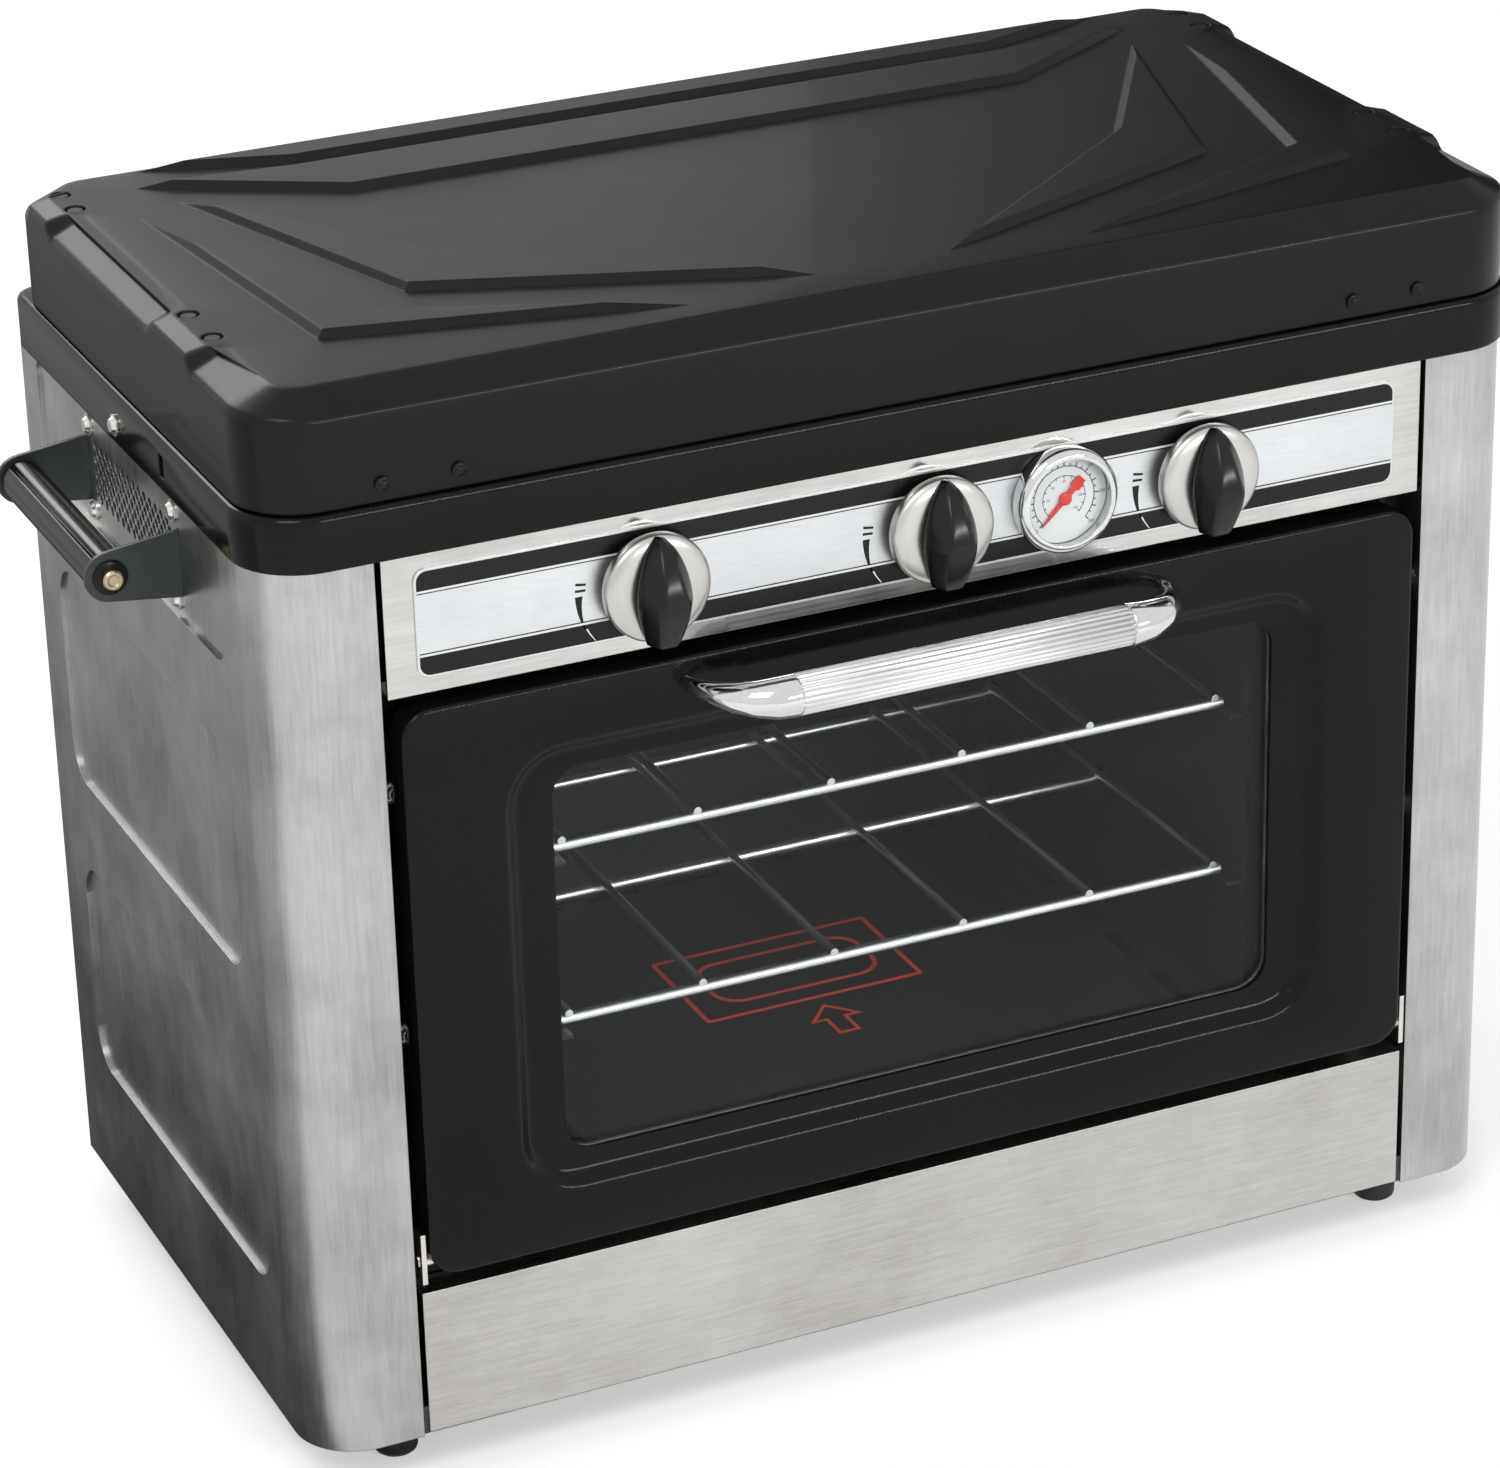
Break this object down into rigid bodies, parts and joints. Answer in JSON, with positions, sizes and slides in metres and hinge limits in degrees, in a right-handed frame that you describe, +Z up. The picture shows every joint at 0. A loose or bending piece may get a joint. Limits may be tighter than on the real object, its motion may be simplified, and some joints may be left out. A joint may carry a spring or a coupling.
{
  "type": "folding camp oven",
  "caption": "Portable gas camp oven with a rear-hinged lid over the cooktop, a bottom-hinged glass door, sliding racks, push-to-turn knobs and carry handles.",
  "frame": {"origin": "centre of the bounding box at the bottom of the rubber feet", "axes": "+Z up, the door and controls face -Y, +X to the right as seen from the front"},
  "size_m": [0.606, 0.3404, 0.4614],
  "materials": {
    "polished_sheet": "bright galvanised sheet",
    "zinc_sheet": "plain galvanised sheet",
    "brushed_sheet": "brushed stainless sheet",
    "label": "printed silver plate",
    "black_enamel": "black gloss enamel",
    "rubber": "black rubber",
    "oven_enamel": "dark grey enamel",
    "burner_steel": "aluminised steel",
    "brass": "brass",
    "ceramic": "white ceramic",
    "cast_iron": "black enamelled iron",
    "arm_paint": "dark grey-green paint",
    "grip_plastic": "dark brown plastic",
    "bolt_zinc": "yellow zinc",
    "screw_steel": "bright zinc",
    "lid_paint": "black satin paint",
    "black_screw": "black",
    "glass": "clear tempered glass",
    "chrome": "bright chrome",
    "grip_aluminium": "ribbed satin aluminium",
    "dial_face": "white print",
    "needle_paint": "red paint",
    "knob_metal": "spun metal",
    "knob_plastic": "black plastic"
  },
  "bodies": {
    "cabinet": {"side_panel_left": "polished_sheet", "side_panel_right": "polished_sheet", "back_panel": "zinc_sheet", "base_pan": "zinc_sheet", "kick_plate": "brushed_sheet", "control_fascia": "brushed_sheet", "label_plate": "label", "face_frame": "black_enamel", "top_band": "black_enamel", "cooktop_deck": "brushed_sheet", "rubber_feet": "rubber", "oven_liner": "oven_enamel", "rack_runners": "oven_enamel", "oven_floor": "oven_enamel", "oven_burner": "burner_steel", "oven_gas_tube": "brass", "gas_manifold": "burner_steel", "gas_valves": "brass", "gas_inlet": "brass", "igniter_electrodes": "ceramic", "burner_bases": "burner_steel", "burner_caps": "cast_iron", "pot_grates": "cast_iron", "handle_arms": "arm_paint", "handle_bolts": "bolt_zinc", "handle_screws": "screw_steel", "panel_screws": "screw_steel", "lid_hinge_leaves": "black_enamel", "lid_hinge_pins": "screw_steel", "door_hinge_brackets": "screw_steel", "door_catches": "screw_steel", "thermometer_case": "chrome", "thermometer_dial": "dial_face", "thermometer_lens": "glass", "thermometer_capillary": "brass"},
    "lid": {"lid_shell": "lid_paint", "lid_screws": "black_screw", "lid_rivets": "black_screw", "lid_hinge_straps": "black_enamel"},
    "door": {"door_panel": "black_enamel", "door_inner_panel": "oven_enamel", "door_glass": "glass", "glass_retainer": "zinc_sheet", "door_handle_ends": "chrome", "door_handle_grip": "grip_aluminium", "door_hinge_pins": "screw_steel"},
    "thermometer_needle": {"thermometer_needle": "needle_paint"},
    "rack_upper": {"oven_rack_upper": "chrome"},
    "rack_lower": {"oven_rack_lower": "chrome"},
    "grip_left": {"side_grip_left": "grip_plastic"},
    "grip_right": {"side_grip_right": "grip_plastic"},
    "stem_left": {"valve_stem_left": "screw_steel"},
    "knob_left": {"knob_disc_left": "knob_metal", "knob_grip_left": "knob_plastic"},
    "stem_middle": {"valve_stem_middle": "screw_steel"},
    "knob_middle": {"knob_disc_middle": "knob_metal", "knob_grip_middle": "knob_plastic"},
    "stem_right": {"valve_stem_right": "screw_steel"},
    "knob_right": {"knob_disc_right": "knob_metal", "knob_grip_right": "knob_plastic"}
  },
  "joints": [
    {"name": "lid_hinge", "type": "hinge", "parent": "cabinet", "child": "lid", "pos_m": [0, 0.16505, 0.415], "axis": [-1, 0, 0], "range_deg": [0, 95]},
    {"name": "door_hinge", "type": "hinge", "parent": "cabinet", "child": "door", "pos_m": [0, -0.12375, 0.096], "axis": [1, 0, 0], "range_deg": [0, 90]},
    {"name": "knob_left_push", "type": "slide", "parent": "cabinet", "child": "stem_left", "axis": [0, 1, 0], "range_m": [0, 0.003], "stiffness_N_per_m": 400},
    {"name": "knob_left_turn", "type": "hinge", "parent": "stem_left", "child": "knob_left", "pos_m": [-0.1135, -0.13775, 0.363], "axis": [0, 1, 0], "range_deg": [-180, 0]},
    {"name": "knob_middle_push", "type": "slide", "parent": "cabinet", "child": "stem_middle", "axis": [0, 1, 0], "range_m": [0, 0.003], "stiffness_N_per_m": 400},
    {"name": "knob_middle_turn", "type": "hinge", "parent": "stem_middle", "child": "knob_middle", "pos_m": [0.005, -0.13775, 0.363], "axis": [0, 1, 0], "range_deg": [-180, 0]},
    {"name": "knob_right_push", "type": "slide", "parent": "cabinet", "child": "stem_right", "axis": [0, 1, 0], "range_m": [0, 0.003], "stiffness_N_per_m": 400},
    {"name": "knob_right_turn", "type": "hinge", "parent": "stem_right", "child": "knob_right", "pos_m": [0.121, -0.13775, 0.363], "axis": [0, 1, 0], "range_deg": [-180, 0]},
    {"name": "thermometer_needle_turn", "type": "hinge", "parent": "cabinet", "child": "thermometer_needle", "pos_m": [0.0593, -0.13075, 0.3645], "axis": [0, 1, 0], "range_deg": [0, 270]},
    {"name": "rack_upper_slide", "type": "slide", "parent": "cabinet", "child": "rack_upper", "axis": [0, -1, 0], "range_m": [0, 0.01]},
    {"name": "rack_lower_slide", "type": "slide", "parent": "cabinet", "child": "rack_lower", "axis": [0, -1, 0], "range_m": [0, 0.01]},
    {"name": "grip_left_roll", "type": "hinge", "parent": "cabinet", "child": "grip_left", "pos_m": [-0.293, 0.02475, 0.364], "axis": [0, 1, 0], "continuous": true},
    {"name": "grip_right_roll", "type": "hinge", "parent": "cabinet", "child": "grip_right", "pos_m": [0.293, 0.02475, 0.364], "axis": [0, 1, 0], "continuous": true}
  ]
}
